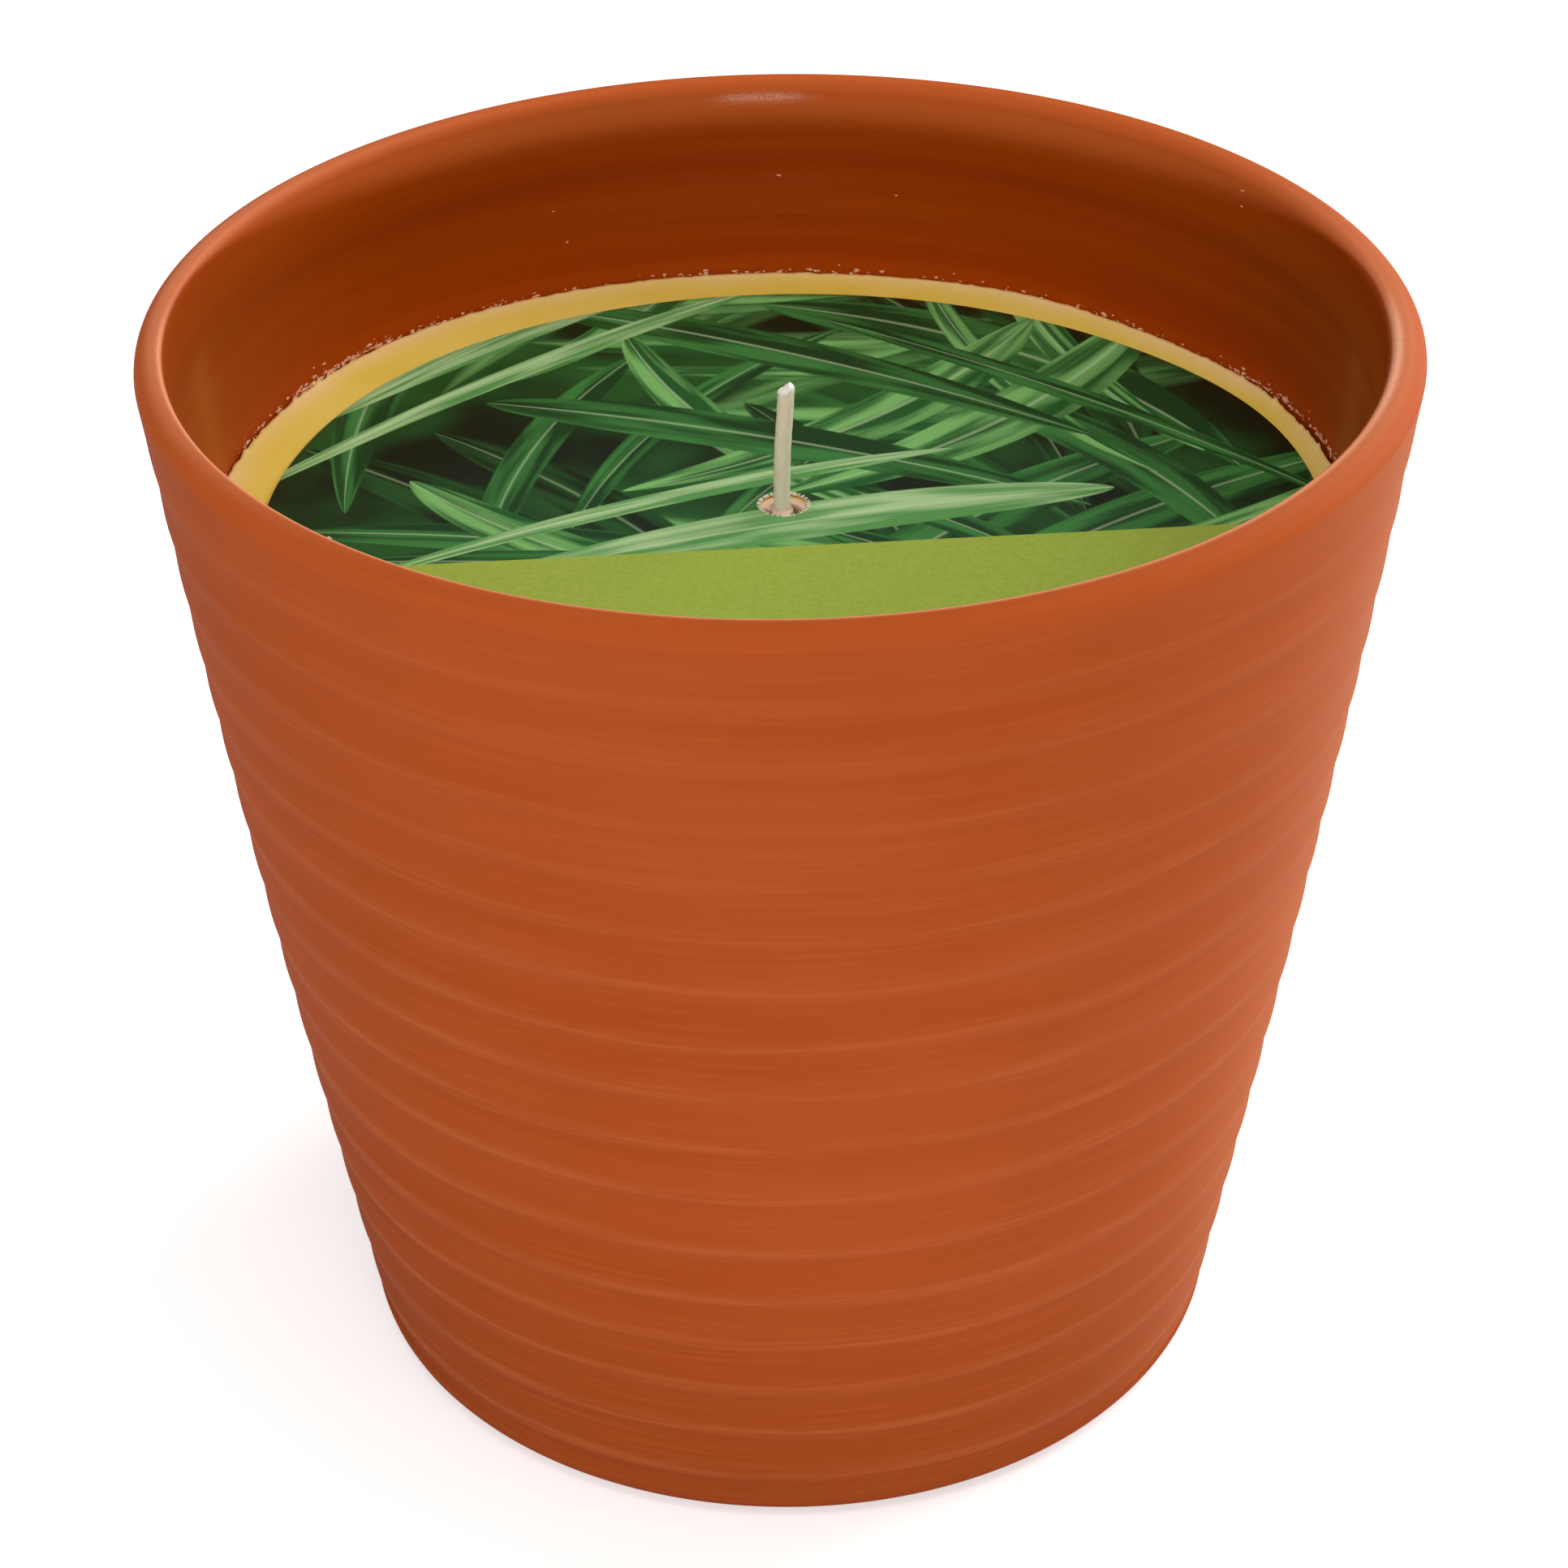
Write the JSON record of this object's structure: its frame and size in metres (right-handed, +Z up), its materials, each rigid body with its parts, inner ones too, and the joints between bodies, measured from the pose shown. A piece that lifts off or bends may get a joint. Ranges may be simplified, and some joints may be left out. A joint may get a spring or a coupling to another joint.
{
  "type": "terracotta pot candle",
  "caption": "Outdoor citronella candle: yellow wax and a wick in a tapered terracotta pot with fine horizontal ridges, a round lip and a round card label on the wax.",
  "frame": {"origin": "middle of the pot's underside, in the plane of the foot ring that it stands on", "axes": "+Z up along the pot's and the wick's common axis, -Y towards the viewer, +X to the viewer's right"},
  "size_m": [0.16, 0.16, 0.146],
  "materials": {
    "terracotta": "matt unglazed fired clay",
    "wax": "cloudy yellow candle wax, satin",
    "wick_cord": "waxed braided cotton",
    "tinned_steel": "thin tinned sheet",
    "card": "satin printed card, green leaves with a lime band"
  },
  "bodies": {
    "root": {"pot": "terracotta", "wax": "wax", "wick": "wick_cord", "wick_sustainer": "tinned_steel", "label": "card"}
  },
  "joints": []
}
